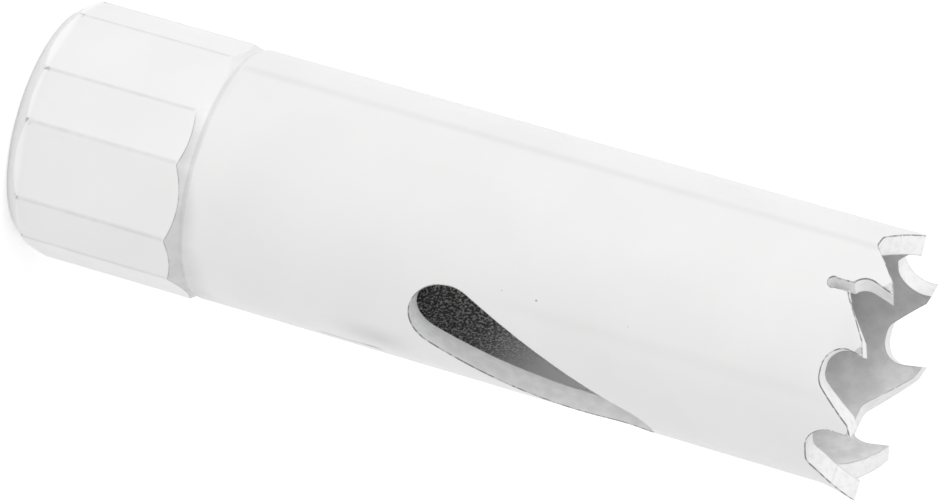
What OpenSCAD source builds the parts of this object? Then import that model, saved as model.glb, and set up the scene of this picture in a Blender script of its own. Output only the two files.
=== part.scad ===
// Bimetal hole saw, 16 mm, with a rolled and welded cup, a threaded base and eight teeth.
// It stands on its threaded base, on the Z axis, with the teeth at the top.
// Millimetres. Angles grow anticlockwise as seen from above, which is the way the saw turns.

/* [Cup] */
// Outside diameter of the cup, which names the size of the saw
cup_diameter = 16; // [15:0.5:20]
// Thickness of the rolled strip
wall = 1.27; // [1:0.01:1.5]
// Height of the highest tooth tip above the rear face
overall_height = 56; // [50:0.1:70]

/* [Teeth] */
// Angle of each tooth tip
tip_angles = [-171, -120.3, -89.2, -51.2, -2, 43.8, 93, 134.3];
// How far each tip stays below the highest one
tip_drops = [0.3, 0, 0.3, 0.2, 0.25, 0.25, 0.2, 0.35];
// How far each tip is bent outward, or inward where the number is negative
tip_sets = [0.05, -0.2, 0.42, -0.2, 0.48, -0.15, 0.35, -0.15];
// Depth of the gullet in front of each tooth, from the highest tip
gullet_depths = [2.2, 2.45, 2.65, 2.9, 2.25, 2.95, 2.8, 2.55];
// Radius of each gullet at the foot of the tooth face
gullet_rounds = [1.2, 0.9, 1.3, 1.5, 1.1, 1.35, 1.3, 1.25];
// Slope of the long back that rises out of each gullet
back_slopes = [39, 38, 45, 40, 20, 41, 41, 42];
// Lean of the tooth face over the gullet
hook_angle = 10; // [0:1:18]
// Length of the flatter back just behind a tip
land_length = 0.8; // [0.4:0.1:1]
// Slope of that flatter back
land_slope = 20; // [10:1:30]
// Radius between the gullet floor and the long back
back_round = 0.7; // [0.3:0.1:1]
// Height of the hard steel edge, measured down from the highest tip
edge_height = 1.4; // [1.2:0.05:1.5]

/* [Chip slot] */
// Width of the slanted slot
slot_width = 4.85; // [3:0.05:6]
// Angle of the centre of its lower end
slot_low_angle = -51.1; // [-60:0.1:-40]
// Height of the centre of its lower end
slot_low_height = 29.85; // [26:0.05:32]
// Angle of the centre of its upper end
slot_high_angle = -11; // [-15:0.1:0]
// Height of the centre of its upper end
slot_high_height = 40.4; // [38:0.1:43]

/* [Seam] */
// Angle of the welded seam of the rolled strip
seam_angle = -117.6; // [-118.5:0.1:-116.5]
// Width of the slit at the open end of the seam
slit_width = 0.56; // [0.4:0.02:0.8]
// Depth of the slit below the highest tip
slit_depth = 3.9; // [3:0.1:5]

/* [Base] */
// Distance across the corners of the base, beyond the diameter of the cup
corners_over_cup = 0.48; // [0.4:0.02:1]
// Angle that one wide flat takes
wide_flat_span = 35.6; // [34:0.2:38]
// Turn of the flats about the axis
flats_turn = -69.6; // [-90:0.2:-30]
// How far off the axis the flats are milled
flats_offset = 0.1; // [0:0.02:0.1]
// Height of the base up to its shoulder
base_height = 11.95; // [11:0.05:13]
// Height of the bevel at the rear rim, on the corners
rear_bevel = 1.1; // [0.5:0.05:1.6]
// Width of that bevel across the corners
rear_bevel_run = 0.95; // [0.6:0.05:1.1]
// Height of the bevel at the front rim, on the corners
front_bevel = 0.7; // [0.3:0.02:0.9]
// Diameter of the neck behind the cup, under the diameter of the cup
neck_under_cup = 0.56; // [0.56:0.02:1]
// Length of the neck
neck_length = 0.5; // [0.3:0.05:1]
// Length of the spigot inside the cup
spigot_length = 0.9; // [0.5:0.1:2]
// Thickness of the spigot around the bore, which is as wide as the tips of the inside thread
spigot_wall = 1; // [0.9:0.01:1.5]
// Width of the bevels at the mouths of the bore
mouth_bevel = 0.72; // [0.2:0.02:0.8]

/* [Hidden] */

cup_radius = cup_diameter / 2;
cup_inside = cup_radius - wall;
middle_radius = cup_radius - wall / 2;
cup_start = base_height + neck_length;
neck_radius = cup_radius - neck_under_cup / 2;
corner_radius = cup_radius + corners_over_cup / 2;
bore_radius = cup_inside - spigot_wall;
teeth = len(tip_angles);
edge_at = overall_height - edge_height;
above = overall_height + 1;
fine = 192;
cut_near = cup_inside - 2;
cut_far = cup_radius + 2;

// Angle in degrees of a length along the middle of the wall
function turn(length) = length / middle_radius * 180 / PI;

// Angle of tooth tip i, counted on past a full turn
function tip_at(i) = tip_angles[i % teeth] + 360 * floor(i / teeth);

// Height of tooth tip i
function tip_height(i) = overall_height - tip_drops[i % teeth];

// Points of a round about a centre, as angle and height on the wall
function round_points(start, centre, radius, from, to, count) =
    [for (k = [0 : count])
        let (a = from + (to - from) * k / count)
        [start + turn(centre[0] + radius * cos(a)), centre[1] + radius * sin(a)]];

// Foot of the face of tooth i, and the gullet and long back up to the next tip, as angle and height
function gullet_parts(i) =
    let (
        start = tip_at(i),
        top = tip_height(i),
        floor_at = overall_height - gullet_depths[i],
        big = gullet_rounds[i],
        slope = back_slopes[i],
        span = (tip_at(i + 1) - start) * PI / 180 * middle_radius,
        knee = [span - land_length, tip_height(i + 1) - land_length * tan(land_slope)],
        face = (top - big * sin(hook_angle) - floor_at - big) / cos(hook_angle),
        first = big * cos(hook_angle) - face * sin(hook_angle),
        rise = (knee[1] - floor_at - back_round) * cos(slope),
        second = max(first + 0.05, knee[0] - (back_round + rise) / sin(slope))
    )
    [
        round_points(start, [first, floor_at + big], big, 180 - hook_angle, 270, 9),
        concat(
            round_points(start, [second, floor_at + back_round], back_round, 270, 270 + slope, 5),
            [[start + turn(knee[0]), knee[1]]]
        )
    ];

// Outline of the gullet between tooth i and the next one
function gullet_outline(i) =
    let (parts = gullet_parts(i))
    concat(
        [[tip_at(i) - turn(0.25), above], [tip_at(i), tip_height(i)]],
        parts[0],
        parts[1],
        [[tip_at(i + 1), tip_height(i + 1)], [tip_at(i + 1) + turn(0.25), above]]
    );

// Outline of tooth i, from the gullet floor behind it over its tip to the gullet floor before it
function tooth_outline(i) =
    let (
        behind = i == 0 ? teeth - 1 : i - 1,
        turns = i == 0 ? -360 : 0
    )
    concat(
        [for (p = gullet_parts(behind)[1]) [p[0] + turns, p[1]]],
        [[tip_at(i), tip_height(i)]],
        gullet_parts(i)[0]
    );

// Outline of the slanted slot, as angle and height on the outside of the wall
function slot_outline() =
    let (
        scale_out = 180 / PI / cup_radius,
        across = (slot_high_angle - slot_low_angle) / scale_out,
        rise = slot_high_height - slot_low_height,
        lean = atan2(rise, across),
        half = slot_width / 2
    )
    concat(
        [for (k = [0 : 16])
            let (a = lean + 90 + 180 * k / 16)
            [slot_low_angle + half * cos(a) * scale_out, slot_low_height + half * sin(a)]],
        [for (k = [0 : 16])
            let (a = lean - 90 + 180 * k / 16)
            [slot_high_angle + half * cos(a) * scale_out, slot_high_height + half * sin(a)]]
    );

// A prism of an outline whose sides all point at the axis, as cuts in a rolled strip do
module cut_through_wall(outline, facing) {
    rotate([0, 0, facing])
        translate([cut_near, 0, 0])
            rotate([90, 0, 90])
                linear_extrude(height = cut_far - cut_near, scale = [cut_far / cut_near, 1])
                    polygon([for (p = outline) [cut_near * tan(p[0] - facing), p[1]]]);
}

module gullet(i) {
    cut_through_wall(gullet_outline(i), (tip_at(i) + tip_at(i + 1)) / 2);
}

// The rolled strip between two heights
module strip(low, high) {
    translate([0, 0, low])
        difference() {
            cylinder(h = high - low, r = cup_radius, $fn = fine);
            translate([0, 0, -1])
                cylinder(h = high - low + 2, r = cup_inside, $fn = fine);
        }
}

// The slit left at the open end of the welded seam
module seam_slit() {
    low = overall_height - slit_depth + slit_width / 2;
    rotate([0, 0, seam_angle]) {
        translate([cut_near, 0, low])
            rotate([0, 90, 0])
                cylinder(h = cut_far - cut_near, d = slit_width + 0.06, $fn = 24);
        translate([cut_near, -slit_width / 2, low])
            cube([cut_far - cut_near, slit_width, slit_depth]);
    }
}

module shell() {
    color([0.93, 0.93, 0.93])
        difference() {
            strip(cup_start, edge_at);
            for (i = [0 : teeth - 1])
                gullet(i);
            cut_through_wall(slot_outline(), (slot_low_angle + slot_high_angle) / 2);
            seam_slit();
        }
}

// The strip above the weld of the hard edge, leaning out as tooth i does
module bent_strip(i) {
    rise = above - edge_at;
    out = tip_sets[i] * rise / (tip_height(i) - edge_at);
    translate([0, 0, edge_at])
        rotate_extrude($fn = fine)
            polygon([[cup_inside, 0], [cup_radius, 0], [cup_radius + out, rise], [cup_inside + out, rise]]);
}

module tooth_tips() {
    color([0.82, 0.82, 0.8])
        for (i = [0 : teeth - 1])
            intersection() {
                bent_strip(i);
                cut_through_wall(tooth_outline(i), tip_at(i) - 8);
            }
}

// Six wide flats with a narrow one on each corner between them
module flats() {
    translate([flats_offset, 0])
        rotate([0, 0, flats_turn])
            polygon([for (k = [0 : 5], side = [-1, 1])
                let (a = 60 * k + side * wide_flat_span / 2)
                [corner_radius * cos(a), corner_radius * sin(a)]]);
}

// Turned outline of the base: bevelled rims, neck, spigot and the bore with its bevelled mouths
module turned_outline() {
    clear = 0.4;
    front_run = corner_radius - neck_radius;
    spigot_end = cup_start + spigot_length;
    polygon([
        [bore_radius + mouth_bevel, 0],
        [corner_radius - rear_bevel_run, 0],
        [corner_radius + clear, rear_bevel * (1 + clear / rear_bevel_run)],
        [corner_radius + clear, base_height - front_bevel * (1 + clear / front_run)],
        [neck_radius, base_height],
        [neck_radius, cup_start],
        [cup_inside, cup_start],
        [cup_inside, spigot_end],
        [bore_radius + mouth_bevel / 2, spigot_end],
        [bore_radius, spigot_end - mouth_bevel / 2],
        [bore_radius, mouth_bevel]
    ]);
}

module base_plug() {
    color([0.9, 0.9, 0.9])
        intersection() {
            translate([0, 0, -1])
                linear_extrude(height = overall_height)
                    flats();
            rotate_extrude($fn = fine)
                turned_outline();
        }
}

base_plug();
shell();
tooth_tips();
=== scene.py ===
# %% [markdown]
# A bimetal hole saw, dressed for its picture
#
# The saw is a slim steel cup with eight teeth, welded to a threaded base. The exact solids come
# from the CAD frame. This lesson gives them what solids lack: edges softened by paint, teeth bent
# out of line, a real inside thread, and finishes of white paint, worn at the cut edges.
#
# The frame is loaded first.

import math

import bmesh
import bpy
import numpy as np
from mathutils import Matrix, Vector, geometry


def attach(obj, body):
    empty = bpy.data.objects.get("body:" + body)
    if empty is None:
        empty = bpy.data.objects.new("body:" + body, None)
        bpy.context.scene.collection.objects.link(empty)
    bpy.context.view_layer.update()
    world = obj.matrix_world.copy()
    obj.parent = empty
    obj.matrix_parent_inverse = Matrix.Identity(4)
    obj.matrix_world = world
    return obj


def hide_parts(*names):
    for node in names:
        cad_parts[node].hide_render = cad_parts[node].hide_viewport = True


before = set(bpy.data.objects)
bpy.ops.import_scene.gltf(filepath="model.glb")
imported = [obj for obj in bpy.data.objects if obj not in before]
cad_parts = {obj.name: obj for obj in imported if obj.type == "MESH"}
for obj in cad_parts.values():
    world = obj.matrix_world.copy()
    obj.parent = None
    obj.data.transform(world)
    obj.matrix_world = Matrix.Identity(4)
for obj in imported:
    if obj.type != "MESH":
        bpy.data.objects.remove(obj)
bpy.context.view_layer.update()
MM = 0.001

# %% [markdown]
# The saw stands on its base, on the Z axis. The photograph shows it lying across the picture,
# because the camera was rolled. So the camera is put at the photograph's height above the floor,
# aimed along +Y, and then rolled. A long lens keeps the near and the far teeth alike in size.

# %% The camera
PICTURE = (941, 504)
ELEVATION = math.radians(17.203)
ROLL = math.radians(106.193)
CAMERA_AT = (0.5813, -355.228, 138.201)
FOCAL_PIXELS = 6074.0

camera_data = bpy.data.cameras.new("camera")
camera = bpy.data.objects.new("camera", camera_data)
bpy.context.collection.objects.link(camera)
bpy.context.scene.camera = camera
camera_data.sensor_width = 36
camera_data.lens = FOCAL_PIXELS / PICTURE[0] * 36
camera_data.clip_end = 20
level = Matrix.Rotation(math.pi / 2 - ELEVATION, 4, "X")
camera.matrix_world = Matrix.Translation(Vector(CAMERA_AT) * MM) @ level @ Matrix.Rotation(ROLL, 4, "Z")
print("lens", round(camera_data.lens, 1), "mm, camera", round(Vector(CAMERA_AT).length), "mm away")

# %% [markdown]
# The sizes below are those of the CAD model, in millimetres and degrees. The saw's maker cuts the
# teeth, the slot and the slit in a flat strip, then rolls the strip to a tube. The same order
# works here: a flat sheet is easy to triangulate, and one formula rolls it afterwards.

# %% Sizes of the cup
RADIUS = 8.0
WALL = 1.27
MIDDLE = RADIUS - WALL / 2
TOP = 56.0
BASE_HEIGHT = 11.95
CUP_START = 12.45
EDGE_AT = TOP - 1.4
TIP_ANGLES = np.array([-171, -120.3, -89.2, -51.2, -2, 43.8, 93, 134.3])
TIP_DROPS = np.array([0.3, 0, 0.3, 0.2, 0.25, 0.25, 0.2, 0.35])
TIP_SETS = np.array([0.05, -0.2, 0.42, -0.2, 0.48, -0.15, 0.35, -0.15])
GULLET_DEPTHS = np.array([2.2, 2.45, 2.65, 2.9, 2.25, 2.95, 2.8, 2.55])
GULLET_ROUNDS = np.array([0.4, 0.9, 1.3, 1.5, 1.1, 1.35, 1.3, 1.6])
BACK_SLOPES = np.radians([39, 38, 45, 40, 20, 41, 41, 28])
HOOKS = np.radians([-51, 18, 10, 10, 10, 10, 10, 10])
BACK_ROUNDS = np.array([0.7, 0.7, 1.1, 1.2, 1.1, 1.1, 1.1, 1.0])
LAND, LAND_SLOPE = 0.8, math.radians(20)
SLOT_WIDTH, SLOT_LOW, SLOT_HIGH = 4.85, (-51.1, 29.85), (-11.0, 40.4)
SEAM_ANGLE, SLIT_WIDTH, SLIT_BOTTOM = -117.6, 0.56, TOP - 3.9
PER_DEGREE = MIDDLE * math.pi / 180
START = 107 - 360
SPAN = 360 * PER_DEGREE
print("the flat strip is", round(SPAN, 2), "mm long and", round(TOP - CUP_START, 2), "mm wide")

# %% [markdown]
# A gullet is the gap in front of a tooth. Its outline runs down the tooth's face, round the foot,
# along the floor and up the long back of the next tooth. Each part is an arc or a line, so the
# outline is written as arcs and corner points, and long lines get extra points afterwards. The
# first tooth's face slopes forward in the photograph, where those of the others lean back.


# %% The outline of the teeth
def arc(centre, radius, start, end, count):
    """Points centre + radius (cos a, sin a), with a from start to end in degrees."""
    a = np.radians(np.linspace(start, end, count))
    return np.column_stack([centre[0] + radius * np.cos(a), centre[1] + radius * np.sin(a)])


def gullet(i, turns=0):
    """The gullet after tooth i in two parts, as (length along the strip, height) in mm."""
    j = (i + 1) % 8
    start = (TIP_ANGLES[i] + turns) * PER_DEGREE
    end = (TIP_ANGLES[j] + turns + (360 if j == 0 else 0)) * PER_DEGREE
    floor, big, slope, hook = TOP - GULLET_DEPTHS[i], GULLET_ROUNDS[i], BACK_SLOPES[i], HOOKS[i]
    knee = (end - LAND, TOP - TIP_DROPS[j] - LAND * math.tan(LAND_SLOPE))
    face = (TOP - TIP_DROPS[i] - big * math.sin(hook) - floor - big) / math.cos(hook)
    first = start + big * math.cos(hook) - face * math.sin(hook)
    broad = BACK_ROUNDS[i]
    rise = (knee[1] - floor - broad) * math.cos(slope)
    second = max(first + 0.05, knee[0] - (broad + rise) / math.sin(slope))
    foot = arc((first, floor + big), big, 180 - math.degrees(hook), 270, 16)
    back = arc((second, floor + broad), broad, 270, 270 + math.degrees(slope), 10)
    return foot, np.vstack([back, knee])


def tip(i, turns=0):
    """The tip of tooth i as (length along the strip, height) in mm."""
    return np.array([[(TIP_ANGLES[i] + turns) * PER_DEGREE, TOP - TIP_DROPS[i]]])


def refine(points, longest):
    """Splits each side of a path into equal parts no longer than the given length."""
    steps = np.maximum(1, np.ceil(np.linalg.norm(np.diff(points, axis=0), axis=1) / longest)).astype(int)
    parts = [a + (b - a) * (np.arange(n) / n)[:, None] for a, b, n in zip(points, points[1:], steps)]
    return np.vstack(parts + [points[-1:]])


def with_slit(foot):
    """Replaces the part of a gullet's foot over the seam by the slit's two sides and round end."""
    centre, half = SEAM_ANGLE * PER_DEGREE, SLIT_WIDTH / 2
    low = foot[:, 1] < foot[:, 1].min() + 0.5
    left = foot[~(low & (foot[:, 0] > centre - half))]
    right = foot[low & (foot[:, 0] > centre + half)]
    sides = [[centre - half, left[-1, 1]], [centre - half, SLIT_BOTTOM + 0.45]]
    bottom = arc((centre, SLIT_BOTTOM + 0.33), half + 0.05, 180, 360, 10)
    other = [[centre + half, SLIT_BOTTOM + 0.45], [centre + half, foot[:, 1].min() + 0.01]]
    return np.vstack([left, sides, bottom, other, right])


pieces_of_top = [[[START * PER_DEGREE, TOP - GULLET_DEPTHS[6]]], gullet(6, -360)[1], tip(7, -360)]
pieces_of_top += [*gullet(7, -360)]
for i in range(6):
    foot, back = gullet(i)
    pieces_of_top += [tip(i), with_slit(foot) if i == 1 else foot, back]
pieces_of_top += [tip(6), gullet(6)[0], [[(START + 360) * PER_DEGREE, TOP - GULLET_DEPTHS[6]]]]
top_path = refine(np.vstack(pieces_of_top), 0.22)
bottom_path = refine(np.array([[(START + 360) * PER_DEGREE, CUP_START], [START * PER_DEGREE, CUP_START]]), 0.3)
print("points along the teeth:", len(top_path))

# %% [markdown]
# The chip slot is a straight slanted slot in the flat strip, and leans because it was cut at an
# angle. Here its two round ends and two sides make one closed path, walked anticlockwise, so that
# the steel is always on the right hand side, as it is along the teeth.

# %% The outline of the slot
slot_scale = math.pi / 180 * RADIUS
lean = math.degrees(math.atan2(SLOT_HIGH[1] - SLOT_LOW[1], (SLOT_HIGH[0] - SLOT_LOW[0]) * slot_scale))
low_end = arc((SLOT_LOW[0] * slot_scale, SLOT_LOW[1]), SLOT_WIDTH / 2, lean + 90, lean + 270, 34)
high_end = arc((SLOT_HIGH[0] * slot_scale, SLOT_HIGH[1]), SLOT_WIDTH / 2, lean - 90, lean + 90, 34)
slot_path = refine(np.vstack([low_end, high_end, low_end[:1]]), 0.3)[:-1]
slot_path[:, 0] *= MIDDLE / RADIUS
print("the slot leans", round(90 - lean, 1), "degrees from the axis")

# %% [markdown]
# Each cut edge of the strip is rounded by handling and by paint. The rounding is a small section
# carried along the outline: a quarter round, the cut face, and a second quarter round. At each
# point of the path the section points into the steel, along the line that halves the corner.


# %% Round the cut edges
SOFT = 0.07
quarter = np.radians(np.linspace(0, 90, 5))
half_section = np.column_stack([SOFT * (1 - np.sin(quarter)), SOFT * (1 - np.cos(quarter))])
SECTION = np.vstack([half_section, [[0, 0.4]], [[0, WALL - 0.4]], (half_section * [1, -1] + [0, WALL])[::-1]])
SQUARE = np.array([[0, 0], [0, 0.4], [0, WALL - 0.4], [0, WALL]])


def inward(path, jump):
    """Vectors into the steel that shift both sides of each corner by one unit. The path is
    closed, with its end shifted by jump from its start."""
    before = np.vstack([path[-1:] - [jump, 0], path[:-1]]) if not jump else np.vstack([path[-2:-1] - [jump, 0], path[:-1]])
    after = np.vstack([path[1:], path[:1] + [jump, 0]]) if not jump else np.vstack([path[1:], path[1:2] + [jump, 0]])
    a, b = path - before, after - path
    a /= np.linalg.norm(a, axis=1, keepdims=True)
    b /= np.linalg.norm(b, axis=1, keepdims=True)
    na, nb = a[:, ::-1] * [1, -1], b[:, ::-1] * [1, -1]
    return (na + nb) / (1 + np.sum(na * nb, axis=1, keepdims=True)).clip(0.25)


def edge_strip(path, jump, section):
    """Grid of points: for each row (o, w) of the section, path + o inward, at depth w in the wall."""
    into = inward(path, jump)
    flat = path[None] + section[:, :1, None] * into[None]
    return np.concatenate([flat, np.broadcast_to(section[:, 1][:, None, None], flat.shape[:2] + (1,))], axis=2)


strips = {
    "top": edge_strip(top_path, SPAN, SECTION),
    "bottom": edge_strip(bottom_path, -SPAN, SQUARE),
    "slot": edge_strip(slot_path, 0, SECTION),
}
print("rows in the rounded section:", len(SECTION))

# %% [markdown]
# The two broad faces of the strip are filled with triangles between those rounded edges. Points
# on a regular grid keep the triangles small, so the rolled tube looks round, and a Delaunay
# triangulation joins them to the outline. Triangles that lie outside the steel are thrown away.


# %% Fill the faces of the strip
def inside(points, polygon):
    """True where a point lies in the polygon: a ray from it crosses an odd number of sides."""
    a, b = polygon, np.roll(polygon, -1, axis=0)
    found = np.zeros(len(points), bool)
    for part in np.array_split(np.arange(len(points)), 1 + len(points) // 4000):
        x, y = points[part, 0][:, None], points[part, 1][:, None]
        crosses = (a[:, 1] > y) != (b[:, 1] > y)
        with np.errstate(divide="ignore", invalid="ignore"):
            at = a[:, 0] + (y - a[:, 1]) / (b[:, 1] - a[:, 1]) * (b[:, 0] - a[:, 0])
        found[part] = np.sum(crosses & (x < at), axis=1) % 2 == 1
    return found


def nearest(points, path):
    """Distance in mm from each point to the nearest point of a path."""
    best = np.full(len(points), 1e9)
    for part in np.array_split(np.arange(len(points)), 1 + len(points) // 4000):
        best[part] = np.sqrt(((points[part][:, None] - path[None]) ** 2).sum(axis=2)).min(axis=1)
    return best


rim_top, rim_bottom, rim_slot = (strips[k][0][:, :2] for k in ("top", "bottom", "slot"))
side = np.linspace(rim_bottom[0, 1], rim_top[-1, 1], 90)[1:-1]
right_side = np.column_stack([np.full(len(side), rim_top[-1, 0]), side[::-1]])
left_side = np.column_stack([np.full(len(side), rim_top[0, 0]), side])
border = np.vstack([rim_top, right_side, rim_bottom, left_side])
grid_x, grid_y = np.meshgrid(np.arange(border[:, 0].min(), border[:, 0].max(), 0.42), np.arange(CUP_START, TOP, 0.42))
spots = np.column_stack([grid_x.ravel(), grid_y.ravel()])
all_paths = np.vstack([top_path, bottom_path, slot_path])
spots = spots[inside(spots, border) & ~inside(spots, rim_slot)]
spots = spots[(nearest(spots, all_paths) > 0.3) & (np.abs(spots[:, 0] - border[:, 0].min()) > 0.2) & (np.abs(spots[:, 0] - border[:, 0].max()) > 0.2)]
sites = np.vstack([border, rim_slot, spots])
n, m = len(border), len(rim_slot)
sides = [(k, (k + 1) % n) for k in range(n)] + [(n + k, n + (k + 1) % m) for k in range(m)]
filled = geometry.delaunay_2d_cdt([Vector(p) for p in sites.tolist()], sides, [], 0, 1e-6)
face_points = np.array([tuple(p) for p in filled[0]])
triangles = np.array([f for f in filled[2] if len(f) == 3])
middles = face_points[triangles].mean(axis=1)
triangles = triangles[inside(middles, border) & ~inside(middles, rim_slot)]
print("triangles on one face of the strip:", len(triangles))

# %% [markdown]
# The faces and the rounded edges are now welded into one closed sheet, still flat. A cut across
# the teeth parts the hard steel edge from the strip, as the weld between the two steels does.
# Each half keeps how near a point is to a cut edge, and how deep in the wall, for the finishes.


# %% Weld the flat strip
def strip_faces(grid, closed, first):
    """Quads between neighbouring rows and columns of a grid whose points start at index first."""
    rows, columns = grid.shape[:2]
    a = np.arange(rows - 1)[:, None] * columns
    c = np.arange(columns if closed else columns - 1)[None]
    d = (c + 1) % columns
    quads = np.stack([a + c, a + d, a + columns + d, a + columns + c], axis=-1).reshape(-1, 4) + first
    return quads.tolist()


points = [np.column_stack([face_points, np.zeros(len(face_points))]), np.column_stack([face_points, np.full(len(face_points), WALL)])]
faces = triangles.tolist() + (triangles[:, ::-1] + len(face_points)).tolist()
for name, grid in strips.items():
    faces += strip_faces(grid, name == "slot", sum(len(p) for p in points))
    points.append(grid.reshape(-1, 3))
points = np.vstack(points)
flat_mesh = bpy.data.meshes.new("flat_strip")
flat_mesh.from_pydata(points.tolist(), [], faces)
print("flat strip:", len(points), "points,", len(faces), "faces")


def bend(angle, height):
    """How far a point moves outward, in mm: set h h / (h + 0.9) over its height at the tip, with h
    the height over the bend. The set eases from one tooth's to the next one's past its foot."""
    feet = (TIP_ANGLES + [19, 0, 0, 0, 0, 0, 0, 0] - START) % 360
    order = np.argsort(feet)
    place = np.searchsorted(feet[order], (angle - START) % 360 - 0.4)
    tooth, before = order[place % 8], order[place - 1]
    past = (((angle - START) % 360 - feet[before]) % 360 / 9).clip(0, 1)
    ease = past * past * (3 - 2 * past)
    over = (height - (TOP - 2.6)).clip(0)
    full = 2.6 - TIP_DROPS[tooth]
    shift = TIP_SETS[before] * (1 - ease) + TIP_SETS[tooth] * ease
    return shift * (over**2 / (over + 0.9)) / (full**2 / (full + 0.9))


def rolled(name, keep_above):
    """Half of the strip rolled to a tube: angle = length / MIDDLE, radius = RADIUS - depth."""
    bm = bmesh.new()
    bm.from_mesh(flat_mesh)
    bmesh.ops.remove_doubles(bm, verts=bm.verts, dist=2e-4)
    cut = bmesh.ops.bisect_plane(
        bm, geom=bm.verts[:] + bm.edges[:] + bm.faces[:], dist=1e-5, plane_co=(0, EDGE_AT, 0), plane_no=(0, 1, 0),
        clear_inner=keep_above, clear_outer=not keep_above,
    )
    edges = [e for e in cut["geom_cut"] if isinstance(e, bmesh.types.BMEdge)]
    bmesh.ops.holes_fill(bm, edges=edges, sides=0)
    mesh = bpy.data.meshes.new(name)
    bm.to_mesh(mesh)
    bm.free()
    flat = np.zeros(len(mesh.vertices) * 3)
    mesh.vertices.foreach_get("co", flat)
    flat = flat.reshape(-1, 3)
    angle = flat[:, 0] / MIDDLE
    radius = RADIUS - flat[:, 2] + bend(np.degrees(angle), flat[:, 1])
    placed = np.column_stack([radius * np.cos(angle), radius * np.sin(angle), flat[:, 1]]) * MM
    mesh.vertices.foreach_set("co", placed.ravel())
    rim = nearest(flat[:, :2], np.vstack([top_path, slot_path]))
    kept_values = {"edge_mm": rim, "depth": flat[:, 2] / WALL}
    kept_values["lip"] = np.hypot(rim, flat[:, 2])
    kept_values["inner_lip"] = np.hypot(rim, WALL - flat[:, 2])
    for label, values in kept_values.items():
        mesh.attributes.new(label, "FLOAT", "POINT").data.foreach_set("value", values)
    bm = bmesh.new()
    bm.from_mesh(mesh)
    bmesh.ops.remove_doubles(bm, verts=bm.verts, dist=2e-7)
    bmesh.ops.recalc_face_normals(bm, faces=bm.faces)
    loose = [e for e in bm.edges if len(e.link_faces) != 2]
    bm.to_mesh(mesh)
    bm.free()
    print(name, len(mesh.vertices), "points, open edges:", len(loose))
    return mesh


def place(name, mesh, slot, *nodes):
    """Puts a finished mesh in the scene as a piece that stands for the given nodes."""
    piece = bpy.data.objects.new(name, mesh)
    bpy.context.collection.objects.link(piece)
    mesh.shade_smooth()
    mesh.set_sharp_from_angle(angle=math.radians(50))
    soft = piece.modifiers.new("even normals", "WEIGHTED_NORMAL")
    soft.mode, soft.keep_sharp = "FACE_AREA", True
    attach(piece, "root")
    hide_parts(*nodes)
    return piece


cup = place("cup_strip", rolled("cup_strip", False), "cup_paint", "shell")
edge = place("hard_edge", rolled("hard_edge", True), "edge_steel", "tooth_tips")

# %% [markdown]
# The base is turned on a lathe from twelve-sided bar. So each column of its mesh has the same
# turned outline, and only the flats pull it in. A formula gives the bar's radius at each angle.
# The corners of the outline are rounded, and the bore carries a real right-hand thread.

# %% The threaded base
CORNER, WIDE_SPAN, TURN, OFF_CENTRE = 8.24, 35.6, -69.6, 0.1
REAR_BEVEL, REAR_RUN, FRONT_BEVEL = 1.1, 0.95, 0.7
NECK, SPIGOT_END = 7.72, 13.35
BORE, MOUTH, PITCH, ROOT = 5.73, 6.45, 1.27, 6.35
columns = np.radians(np.linspace(0, 360, 361)[:-1] + TURN)


def bar_radius(angle):
    """Distance from the axis to the milled bar: the least of the twelve flats' distances, each
    (distance + shift cos(its direction)) / cos(angle - its direction), eased over the corners."""
    angle = np.asarray(angle)[..., None]
    facing = np.radians(TURN + 30 * np.arange(12))
    half = np.where(np.arange(12) % 2 == 0, WIDE_SPAN / 2, 30 - WIDE_SPAN / 2)
    away = CORNER * np.cos(np.radians(half)) + OFF_CENTRE * np.cos(facing)
    swing = np.cos(angle - facing)
    reach = np.where(swing > 0.8, away / swing.clip(0.8), 20)
    ease = 0.012
    return -ease * np.log(np.sum(np.exp(-(reach - 8) / ease), axis=-1)) + 8


def front_end(angle):
    """Height where the flats end at the front: the bevel's cone reaches the bar's radius there."""
    return BASE_HEIGHT - FRONT_BEVEL * (bar_radius(angle) - NECK) / (CORNER - NECK)


def rounded(before, corner, after, radius, count=5):
    """Points of the arc that rounds a corner of the outline, for all columns at once."""
    p, q = before - corner, after - corner
    p /= np.linalg.norm(p, axis=1, keepdims=True)
    q /= np.linalg.norm(q, axis=1, keepdims=True)
    half = np.arccos(np.sum(p * q, axis=1).clip(-1, 1))[:, None] / 2
    reach = radius / np.tan(half)
    centre = corner + (p + q) / np.linalg.norm(p + q, axis=1, keepdims=True) * radius / np.sin(half)
    start, end = corner + p * reach - centre, corner + q * reach - centre
    sweep = math.pi - 2 * half
    t = np.linspace(0, 1, count)[:, None, None]
    return centre + (start * np.sin((1 - t) * sweep) + end * np.sin(t * sweep)) / np.sin(sweep)


bar = bar_radius(columns)
same = np.ones(len(columns))
corners = [
    (MOUTH * same, 0 * same, 0.06), ((CORNER - REAR_RUN) * same, 0 * same, 0.2),
    (bar, REAR_BEVEL * (1 - (CORNER - bar) / REAR_RUN), 0.15),
    (bar, front_end(columns), 0.1), ((NECK + 0.04) * same, (BASE_HEIGHT - 0.02) * same, 0.12),
    ((RADIUS - 0.01) * same, (CUP_START - 0.12) * same, 0.3), (RADIUS * same, CUP_START * same, 0.001),
    ((RADIUS - WALL) * same, CUP_START * same, 0.02), ((RADIUS - WALL) * same, SPIGOT_END * same, 0.1),
    ((MOUTH - 0.36) * same, SPIGOT_END * same, 0.06),
]
outline = [np.column_stack(c[:2]) for c in corners]
outline = [np.column_stack([MOUTH - 0.3 * same, 0.3 * same])] + outline + [np.column_stack([BORE * same, SPIGOT_END - 0.36 * same])]
rows = []
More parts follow.
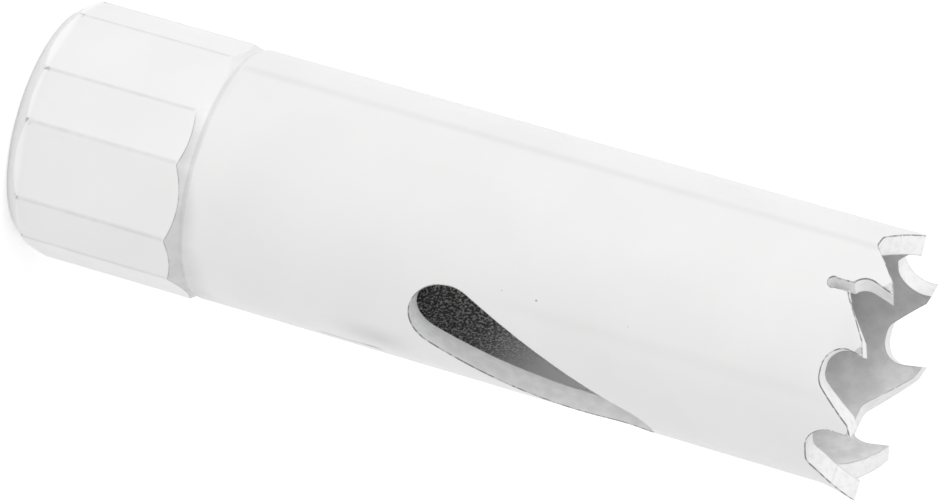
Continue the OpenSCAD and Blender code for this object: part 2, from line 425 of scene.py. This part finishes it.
for k in range(1, len(outline) - 1):
    bow = rounded(outline[k - 1], outline[k], outline[k + 1], corners[k - 1][2])
    if rows:
        gap = bow[0] - rows[-1]
        rows += [rows[-1] + gap * s for s in (0.06, 0.35, 0.65, 0.94)]
    rows += list(bow)
outside = np.stack(rows)
z = np.linspace(outside[-1, 0, 1], outside[0, 0, 1], 118)[1:-1, None]
phase = np.abs((z / PITCH - columns[None] / (2 * math.pi)) % 1 - 0.5) * PITCH
thread = np.interp(phase, [PITCH / 16, 3 * PITCH / 8], [ROOT, BORE])
mouths = np.maximum(MOUTH - z, MOUTH - 0.36 - (SPIGOT_END - z))
bore = np.stack([np.maximum(thread, mouths), np.broadcast_to(z, thread.shape)], axis=-1)
section = np.concatenate([outside, bore, outside[:1]])
grid = np.stack([section[..., 0] * np.cos(columns), section[..., 0] * np.sin(columns), section[..., 1]], axis=-1)
base_mesh = bpy.data.meshes.new("threaded_base")
base_faces = strip_faces(grid, True, 0)
base_mesh.from_pydata((grid.reshape(-1, 3) * MM).tolist(), [], base_faces)
bm = bmesh.new()
bm.from_mesh(base_mesh)
bmesh.ops.remove_doubles(bm, verts=bm.verts, dist=2e-7)
bmesh.ops.recalc_face_normals(bm, faces=bm.faces)
print("threaded base:", len(bm.faces), "faces, open edges:", sum(len(e.link_faces) != 2 for e in bm.edges))
bm.to_mesh(base_mesh)
bm.free()
base = place("threaded_base", base_mesh, "base_paint", "base_plug")

# %% [markdown]
# Shade is painted into the corner where the base meets the cup, and darker lines run along the
# edges between the flats. Each point of the meshes is told how far it lies in front of the flats'
# ends, and the base's points how far they are from the nearest edge between two flats. The finishes
# read those numbers.


# %% Measure along the base
def points_of(mesh):
    """The mesh's points as angle in radians, distance from the axis and height, both in mm."""
    at = np.zeros(len(mesh.vertices) * 3)
    mesh.vertices.foreach_get("co", at)
    at = at.reshape(-1, 3) / MM
    return np.arctan2(at[:, 1], at[:, 0]), np.hypot(at[:, 0], at[:, 1]), at[:, 2]


def keep(mesh, label, values):
    mesh.attributes.new(label, "FLOAT", "POINT").data.foreach_set("value", values)


for piece in (cup, edge, base):
    angle, radius, height = points_of(piece.data)
    keep(piece.data, "past_flats", height - front_end(angle))
angle, radius, height = points_of(base.data)
turned = (np.degrees(angle) - TURN + 30) % 60 - 30
keep(base.data, "from_corner", np.abs(np.abs(turned) - WIDE_SPAN / 2) * CORNER * math.pi / 180)
print("flats end between", np.round([front_end(columns).min(), front_end(columns).max()], 2), "mm")

# %% [markdown]
# The saw is dipped in white paint and baked. Shaders for it are built from small masks: numbers
# from 0 to 1 that say where a tone goes. A few helpers keep that readable. Places are given as an
# angle in degrees and a height in mm, which are worked out from the Object coordinates.


# %% Helpers for the finishes
def nodes_of(name):
    """A new material with its node tree, its shader and a helper that adds a node."""
    material = bpy.data.materials.new(name)
    material.use_nodes = True
    tree = material.node_tree
    shader = tree.nodes["Principled BSDF"]

    def add(kind, inputs=None, **settings):
        node = tree.nodes.new(kind)
        for key, value in settings.items():
            setattr(node, key, value)
        for key, value in (inputs or {}).items():
            if isinstance(value, bpy.types.NodeSocket):
                tree.links.new(value, node.inputs[key])
            else:
                node.inputs[key].default_value = value
        return node.outputs

    return material, tree, shader, add


def mask(add, value, low, high, out_low=0.0, out_high=1.0):
    """A value stretched smoothly from low..high to out_low..out_high, and held there outside."""
    inputs = {0: value, 1: low, 2: high, 3: out_low, 4: out_high}
    return add("ShaderNodeMapRange", inputs, interpolation_type="SMOOTHSTEP")[0]


def hill(add, value, middle, reach):
    """1 at the middle, falling smoothly to 0 at the middle plus or minus the reach."""
    away = product(add, product(add, value, middle, "SUBTRACT"), 0.0, "ABSOLUTE")
    return mask(add, away, 0.0, reach, 1.0, 0.0)


def blend(add, factor, first, second):
    """A mix of two colours by a factor."""
    return add("ShaderNodeMix", {"Factor": factor, 6: first, 7: second}, data_type="RGBA")[2]


def product(add, a, b, operation="MULTIPLY"):
    return add("ShaderNodeMath", {0: a, 1: b}, operation=operation)[0]


def noise(add, where, scale, detail=2.0, rough=0.5, **more):
    """Noise between 0 and 1, with features of about 1 / scale metres."""
    return add("ShaderNodeTexNoise", {"Vector": where, "Scale": scale, "Detail": detail, "Roughness": rough}, **more)[0]


def kept(add, label):
    """A number that the mesh keeps at its points."""
    return add("ShaderNodeAttribute", attribute_name=label)["Fac"]


def grey(tone, warm=0.0):
    return (tone, tone * (1 - warm), tone * (1 - 2 * warm), 1)


print("helpers ready")

# %% [markdown]
# The paint is a satin white. It is a shade uneven and holds a few tiny dark specks. A dark line
# along the tube is a painted reflection, and a fainter second line is painted shade. Painted shade
# also lies in the corner where the flats end. Each of those is one mask, and each darkens the
# white by a little.


# %% The white paint
def painted(name, white, has_wall):
    """White paint over steel, with painted shade and painted light in its colour. With has_wall, cut
    edges and the inner wall have their own tone.
    """
    material, tree, shader, add = nodes_of(name)
    where = add("ShaderNodeTexCoord")["Object"]
    xyz = add("ShaderNodeSeparateXYZ", {0: where})
    angle = product(add, product(add, xyz["Y"], xyz["X"], "ARCTAN2"), 180 / math.pi)
    height = product(add, xyz["Z"], 1000.0)
    broad = noise(add, where, 160.0, 3.0)
    fine = noise(add, where, 900.0, 4.0, 0.6)
    grain = noise(add, where, 4500.0, 2.0)
    colour = blend(add, mask(add, broad, 0.3, 0.7), grey(white * 0.972, 0.001), grey(white, 0.001))

    # Painted shade in the corner in front of the flats' ends: darkest at their ends, fading over 1 to 3 mm, and
    # strongest on the side away from the key lamp.
    past = kept(add, "past_flats")
    low_side = product(add, mask(add, angle, -114.0, -105.0), mask(add, angle, 60.0, 150.0, 1.0, 0.0))
    all_round = product(add, mask(add, angle, -118.0, -92.0, 0.3, 1.0), mask(add, angle, 60.0, 150.0, 1.0, 0.3))
    width = mask(add, angle, -90.0, -25.0, 1.1, 3.0)
    fade = mask(add, product(add, past, width, "DIVIDE"), 0.0, 1.0, 1.0, 0.0)
    band = product(add, product(add, fade, mask(add, past, -0.03, 0.03)), all_round)
    corner_shade = product(add, band, mask(add, fine, 0.3, 0.6, 0.75, 1.0))
    colour = blend(add, product(add, corner_shade, 0.42), colour, grey(0.3))
    if has_wall:
        # A painted reflection: a soft, broken dark line along the tube at one angle.
        painted_reflection_line = product(add, hill(add, angle, -143.3, 4.2), mask(add, noise(add, where, 60.0), 0.3, 0.6, 0.6, 1.0))
        colour = blend(add, product(add, painted_reflection_line, 0.085), colour, grey(0.1))
        # Painted shade: a fainter dark line along the tube, from beside the slot towards the teeth.
        painted_shade_line = product(add, hill(add, angle, -67.5, 5.5), mask(add, height, 30.0, 36.0))
        colour = blend(add, product(add, painted_shade_line, 0.03), colour, grey(0.1))
    cells = add("ShaderNodeTexVoronoi", {"Vector": where, "Scale": 420.0}, feature="F1")
    rare = add("ShaderNodeSeparateColor", {0: cells["Color"]})[0]
    speck = product(add, mask(add, cells["Distance"], 0.02, 0.045, 1, 0), mask(add, rare, 0.93, 0.935))
    colour = blend(add, product(add, speck, 0.8), colour, grey(0.12))

    if has_wall:
        depth, rim = kept(add, "depth"), kept(add, "edge_mm")
        # Painted shade: a soft darker patch on the tube by the low end of the slot.
        painted_shade_patch = product(add, hill(add, angle, -26.0, 13.0), hill(add, height, 25.0, 3.4))
        colour = blend(add, product(add, painted_shade_patch, 0.22), colour, grey(0.2))
        thin = product(add, hill(add, angle, -12.0, 2.0), product(add, mask(add, height, 20.6, 21.2), mask(add, height, 24.8, 25.2, 1.0, 0.0)))
        end = product(add, hill(add, angle, -13.0, 3.0), hill(add, height, 24.4, 1.2))
        scratch = product(add, product(add, thin, 0.7), end, "MAXIMUM")
        colour = blend(add, product(add, scratch, 0.7), colour, grey(0.25))
        streaks = noise(add, add("ShaderNodeMapping", {"Vector": where, "Scale": (1.0, 1.0, 0.35)})[0], 2600.0, 3.0)
        cut = mask(add, depth, 0.03, 0.1)
        at_slot = blend(add, mask(add, streaks, 0.35, 0.65), grey(white * 0.84), grey(white * 0.93))
        at_slot = blend(add, mask(add, height, 40.9, 41.9), at_slot, grey(white * 1.05))
        at_teeth = blend(add, mask(add, streaks, 0.3, 0.6), grey(white * 0.93), grey(white * 1.02))
        cut_tone = blend(add, mask(add, height, 46.0, 49.0), at_slot, at_teeth)
        colour = blend(add, cut, colour, cut_tone)
        # The inner wall is speckled steel. Painted shade darkens it deep in the tube and where it faces away from the
        # key lamp, and painted light brightens it towards the teeth.
        inner_deep = mask(add, height, 50.5, 46.0)
        spatter = mask(add, noise(add, where, 6500.0, 2.0, 0.6), 0.47, 0.6)
        patchy = mask(add, fine, 0.35, 0.65, 0.9, 1.06)
        painted_shade_inside = product(add, mask(add, angle, 140.0, 25.0, 0.44, 0.8), mask(add, height, 50.5, 55.0, 0.9, 1.12))
        even = add("ShaderNodeCombineColor", {0: product(add, patchy, painted_shade_inside), 1: product(add, patchy, painted_shade_inside), 2: product(add, patchy, painted_shade_inside)})[0]
        dark_spots_painted_shade = blend(add, mask(add, height, 28.5, 34.5), grey(0.15), grey(1.0))
        pale = blend(add, mask(add, height, 28.0, 33.0), grey(0.85), grey(1.0))
        deep = blend(add, spatter, dark_spots_painted_shade, pale)
        colour = blend(add, mask(add, depth, 0.95, 0.985), colour, blend(add, inner_deep, even, deep))
        corner = kept(add, "lip")
        worn = product(add, mask(add, corner, 0.05, 0.085, 1, 0), mask(add, noise(add, where, 2200.0), 0.36, 0.56, 0.4, 1.0))
        colour = blend(add, product(add, worn, 0.9), colour, grey(0.13))
        corner = kept(add, "inner_lip")
        worn = product(add, mask(add, corner, 0.05, 0.085, 1, 0), mask(add, fine, 0.3, 0.6))
        colour = blend(add, product(add, worn, 0.5), colour, grey(0.2))
    else:
        # Painted shade: a thin dark line in the crease where the flats end, on the side away from the key lamp.
        line = product(add, hill(add, past, 0.0, 0.06), low_side)
        colour = blend(add, product(add, product(add, line, mask(add, fine, 0.35, 0.6, 0.5, 1.0)), 0.6), colour, grey(0.15))
        # Painted light: the rear bevel, which faces the floor, is painted lighter.
        colour = blend(add, mask(add, height, 1.3, 0.9), colour, grey(0.96))
        by_corner = kept(add, "from_corner")
        on_flats = product(add, mask(add, past, -0.05, -0.2), mask(add, height, 0.8, 1.1))
        seam = product(add, product(add, hill(add, by_corner, 0.0, 0.22), on_flats), mask(add, fine, 0.35, 0.6, 0.7, 1.0))
        colour = blend(add, product(add, seam, 0.19), colour, grey(0.1))
        tick = product(add, product(add, hill(add, by_corner, 0.05, 0.3), hill(add, height, 1.15, 0.35)), mask(add, grain, 0.48, 0.6))
        colour = blend(add, product(add, tick, 0.6), colour, grey(0.15))
    tree.links.new(colour, shader.inputs["Base Color"])
    tree.links.new(mask(add, fine, 0.3, 0.7, 0.32, 0.42), shader.inputs["Roughness"])
    shader.inputs["IOR"].default_value = 1.5
    relief = product(add, product(add, broad, 0.6), product(add, fine, 0.12), "ADD")
    bump = add("ShaderNodeBump", {"Height": relief, "Distance": 0.00004, "Strength": 0.3})[0]
    tree.links.new(bump, shader.inputs["Normal"])
    return material


cup_paint = painted("cup_paint", 0.87, True)
edge_paint = painted("edge_paint", 0.87, True)
base_paint = painted("base_paint", 0.9, False)
for piece, material in ((cup, cup_paint), (edge, edge_paint), (base, base_paint)):
    piece.data.materials.clear()
    piece.data.materials.append(material)
print("materials:", [m.name for m in (cup_paint, edge_paint, base_paint)])

# %% [markdown]
# A product picture like this one is taken on a white table under wide soft lamps. The floor is
# pale and takes the saw's shadow. It also shines a little for the camera, for reflections and
# for glass, so that it comes out white without more light on the saw.

# %% The floor
bpy.ops.mesh.primitive_plane_add(size=8)
floor = bpy.context.object
floor.name = "floor"
material, tree, shader, add = nodes_of("floor")
paths = add("ShaderNodeLightPath")
seen = product(add, product(add, paths["Is Camera Ray"], paths["Is Glossy Ray"], "MAXIMUM"), paths["Is Transmission Ray"], "MAXIMUM")
shine = add("ShaderNodeEmission", {"Color": (1, 1, 1, 1), "Strength": product(add, seen, 0.36)})[0]
matt = add("ShaderNodeBsdfDiffuse", {"Color": (0.8, 0.8, 0.8, 1)})[0]
both = add("ShaderNodeAddShader", {0: shine, 1: matt})[0]
tree.links.new(both, tree.nodes["Material Output"].inputs["Surface"])
floor.data.materials.append(material)
print("floor", [round(d, 1) for d in floor.dimensions], "m")

# %% [markdown]
# Light comes from the sky of the studio, even on all sides, and from a wide lamp on the side
# that is up in the photograph. That side of the saw is a shade lighter than the other, which
# gives the tube its roundness.


# %% Light
def lamp(name, at, size, power):
    """A square area lamp at a place in metres that faces the middle of the saw."""
    data = bpy.data.lights.new(name, "AREA")
    data.size, data.energy = size, power
    thing = bpy.data.objects.new(name, data)
    bpy.context.collection.objects.link(thing)
    thing.location = at
    thing.rotation_euler = (Vector((0, 0, 0.03)) - Vector(at)).to_track_quat("-Z", "Y").to_euler()
    return thing


lamp("key", (-0.55, -0.35, 0.45), 0.5, 1.5)
lamp("fill", (0.3, -0.6, 0.5), 0.5, 0.6)
world = bpy.data.worlds.new("studio")
bpy.context.scene.world = world
world.use_nodes = True
world.node_tree.nodes["Background"].inputs["Color"].default_value = (1, 1, 1, 1)
world.node_tree.nodes["Background"].inputs["Strength"].default_value = 0.81
bpy.context.scene.view_settings.view_transform = "Standard"
